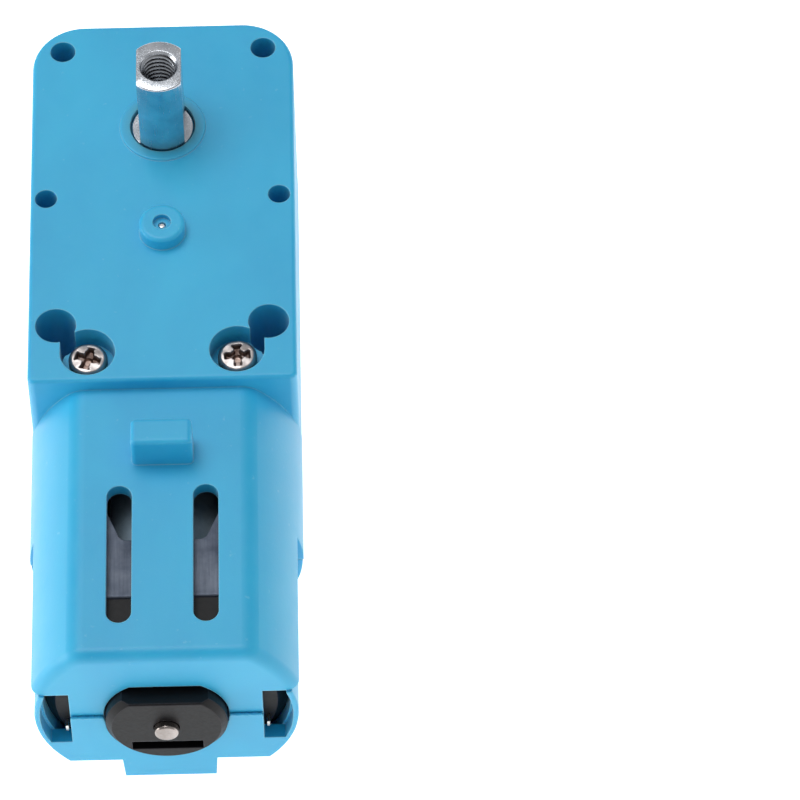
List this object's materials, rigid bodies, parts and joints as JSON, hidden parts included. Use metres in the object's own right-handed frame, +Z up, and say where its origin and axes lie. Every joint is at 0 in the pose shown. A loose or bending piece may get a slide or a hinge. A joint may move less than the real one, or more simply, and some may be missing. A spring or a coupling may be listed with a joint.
{
  "type": "enclosed gearmotor",
  "caption": "Small blue plastic right-angle gearmotor: a flat gearbox with a double-flat output shaft on top and an enclosed round motor behind it.",
  "frame": {"origin": "on the output shaft's axis, at the gearbox's top face", "axes": "+Z up the output shaft, +Y towards the shaft end of the box, motor along -Y, X across"},
  "size_m": [0.0226, 0.0652, 0.0278],
  "materials": {
    "blue_plastic": "fine matte, slightly translucent sky blue",
    "screw_steel": "warm, worn bright",
    "plated_steel": "bright zinc plated",
    "gear_steel": "satin, greased",
    "spring_steel": "dark",
    "pin_steel": "ground",
    "bronze": "sintered, matt",
    "pinion_brass": "cut, bright",
    "motor_steel": "ground",
    "core_steel": "laminated, dark",
    "copper_wire": "enamelled copper wire",
    "copper": "turned copper",
    "brown_plastic": "moulded",
    "can_steel": "drawn, satin",
    "ferrite": "matt ceramic",
    "black_plastic": "fine matte",
    "tinned_metal": "tinned, bright"
  },
  "bodies": {
    "gearbox": {"upper_housing": "blue_plastic", "lower_housing": "blue_plastic", "top_screws": "screw_steel", "bottom_screws": "screw_steel", "idler_pin": "pin_steel", "idler_spacer": "bronze", "motor_can": "can_steel", "magnets": "ferrite", "front_bush": "bronze", "rear_bush": "bronze", "end_cap": "black_plastic", "terminals": "tinned_metal", "brushes": "tinned_metal"},
    "rotor": {"motor_shaft": "motor_steel", "motor_pinion": "pinion_brass", "armature_core": "core_steel", "coils": "copper_wire", "commutator_hub": "brown_plastic", "commutator_bars": "copper"},
    "first_stage": {"crown_wheel": "gear_steel", "first_pinion": "gear_steel"},
    "second_stage": {"second_wheel": "gear_steel", "second_pinion": "gear_steel"},
    "third_stage": {"third_wheel": "gear_steel", "third_pinion": "gear_steel"},
    "output": {"output_shaft": "plated_steel", "output_wheel": "gear_steel", "retaining_ring": "spring_steel"}
  },
  "joints": [
    {"name": "rotor_spin", "type": "hinge", "parent": "gearbox", "child": "rotor", "pos_m": [0, -0.036, -0.0101], "axis": [0, 1, 0], "continuous": true},
    {"name": "first_stage_spin", "type": "hinge", "parent": "gearbox", "child": "first_stage", "pos_m": [0, -0.011, -0.012], "axis": [0, 0, 1], "continuous": true},
    {"name": "second_stage_spin", "type": "hinge", "parent": "gearbox", "child": "second_stage", "pos_m": [0, 0, -0.008], "axis": [0, 0, 1], "continuous": true},
    {"name": "third_stage_spin", "type": "hinge", "parent": "gearbox", "child": "third_stage", "pos_m": [0, -0.011, -0.005], "axis": [0, 0, 1], "continuous": true},
    {"name": "output_spin", "type": "hinge", "parent": "gearbox", "child": "output", "pos_m": [0, 0, 0], "axis": [0, 0, 1], "continuous": true}
  ],
  "couplings": [
    {"joint": "first_stage_spin", "follows": "rotor_spin", "ratio": -0.25},
    {"joint": "second_stage_spin", "follows": "rotor_spin", "ratio": 0.10484},
    {"joint": "third_stage_spin", "follows": "rotor_spin", "ratio": -0.048925},
    {"joint": "output_spin", "follows": "rotor_spin", "ratio": 0.020517}
  ]
}
